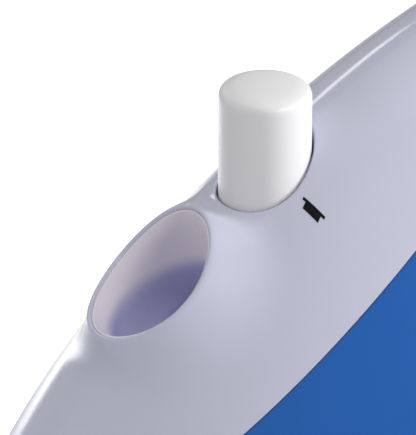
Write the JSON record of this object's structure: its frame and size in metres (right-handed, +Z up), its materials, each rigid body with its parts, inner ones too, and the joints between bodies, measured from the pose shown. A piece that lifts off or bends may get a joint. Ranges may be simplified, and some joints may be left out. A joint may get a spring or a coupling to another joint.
{
  "type": "steam iron",
  "caption": "Steam iron with a pointed soleplate, translucent front tank, open filler collar, upright steam knob, closed-loop handle and a dial under it.",
  "frame": {"origin": "bottom centre of the bounding box, on the plane of the sole", "axes": "+Z up from the sole, -Y towards the nose, +X to the iron's port side"},
  "size_m": [0.114, 0.2664, 0.1351],
  "materials": {
    "white_plastic": "gloss",
    "knob_white": "satin gloss",
    "tank_blue": "translucent gloss",
    "accent_blue": "fine texture",
    "skirt_grey": "satin",
    "steel": "bright",
    "cast_aluminium": "as cast",
    "sole_finish": "polished",
    "brass": "turned",
    "black_rubber": "matte",
    "silicone": "matte",
    "ceramic": "glazed",
    "amber_lens": "clear",
    "lamp_glass": "clear",
    "lead_brown": "satin",
    "lead_blue": "satin",
    "lead_green": "satin"
  },
  "bodies": {
    "iron": {"soleplate": "sole_finish", "heater_casting": "cast_aluminium", "heating_element": "steel", "chamber_gasket": "silicone", "steam_chamber_cover": "steel", "heat_skirt": "skirt_grey", "tank_shell": "tank_blue", "tank_base": "accent_blue", "valve_seat": "brass", "seat_grommet": "silicone", "valve_guide": "white_plastic", "knob_spring": "steel", "filler_funnel": "white_plastic", "bonnet": "white_plastic", "handle_cover": "white_plastic", "handle_grip": "accent_blue", "body_shell": "white_plastic", "rear_cover": "white_plastic", "cord_inlet_bush": "black_rubber", "dial_ring": "skirt_grey", "thermostat": "steel", "thermal_fuse": "ceramic", "earth_tab": "brass", "terminal_block": "ceramic", "terminal_screw_live": "brass", "terminal_screw_earth": "brass", "terminal_screw_neutral": "brass", "cord_clamp": "skirt_grey", "pilot_lens": "amber_lens", "pilot_lamp": "lamp_glass", "lead_live": "lead_brown", "lead_neutral": "lead_blue", "lead_earth": "lead_green", "skirt_screw_front": "steel", "skirt_screw_port": "steel", "skirt_screw_starboard": "steel", "rear_screw_port": "steel", "rear_screw_starboard": "steel"},
    "steam_knob": {"steam_knob": "knob_white", "valve_rod": "steel"},
    "temperature_dial": {"temperature_dial": "accent_blue", "thermostat_shaft": "steel"}
  },
  "joints": [
    {"name": "steam_knob_press", "type": "slide", "parent": "iron", "child": "steam_knob", "axis": [0, 0, -1], "range_m": [0, 0.004], "stiffness_N_per_m": 300, "springref_m": -0.002, "deforming": ["knob_spring"]},
    {"name": "temperature_dial_turn", "type": "hinge", "parent": "iron", "child": "temperature_dial", "pos_m": [0, 0.04375, 0.067], "axis": [0, 0, -1], "range_deg": [0, 270]}
  ]
}
